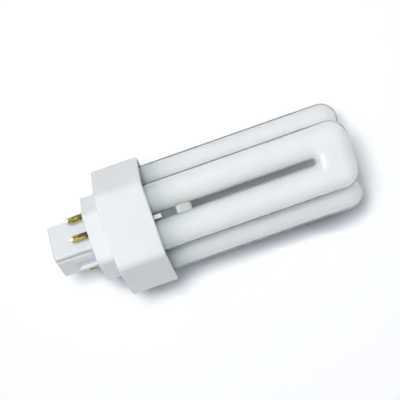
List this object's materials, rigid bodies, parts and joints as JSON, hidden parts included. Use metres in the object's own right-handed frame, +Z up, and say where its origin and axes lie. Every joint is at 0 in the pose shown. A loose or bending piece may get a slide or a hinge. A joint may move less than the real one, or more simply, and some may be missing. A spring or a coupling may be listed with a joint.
{
  "type": "plug-in fluorescent lamp",
  "caption": "Compact fluorescent lamp with folded white glass tubes in a cut-triangle collar, and a plug-in cap with brass pins beside a keyed square post.",
  "frame": {"origin": "on the floor that the lamp lies on, in the middle of its length and width", "axes": "+X along the lamp towards the tips of its tubes, which dip 3.1 degrees to the floor; +Z up, out of the long side of the collar that the picture shows; +Y across"},
  "size_m": [0.1162, 0.0478, 0.0431],
  "materials": {
    "coated_glass": "clear glass over a white powder coating, opaque and glossy",
    "collar_plastic": "white moulded plastic, satin",
    "holder_plastic": "white moulded plastic",
    "cap_plastic": "white moulded plastic, satin",
    "pin_brass": "drawn brass",
    "wire_metal": "plated wire",
    "cement": "hardened cement",
    "silicone": "cloudy silicone"
  },
  "bodies": {
    "root": {"discharge_tube": "coated_glass", "spacer_bead_1": "silicone", "spacer_bead_2": "silicone", "spacer_bead_3": "silicone", "collar": "collar_plastic", "tube_holder": "holder_plastic", "cement_ring_1": "cement", "cement_ring_2": "cement", "cement_ring_3": "cement", "cement_ring_4": "cement", "cement_ring_5": "cement", "cement_ring_6": "cement", "cap": "cap_plastic", "contact_pin_1": "pin_brass", "contact_pin_2": "pin_brass", "contact_pin_3": "pin_brass", "contact_pin_4": "pin_brass", "lead_wire_1": "wire_metal", "lead_wire_2": "wire_metal", "lead_wire_3": "wire_metal", "lead_wire_4": "wire_metal"}
  },
  "joints": []
}
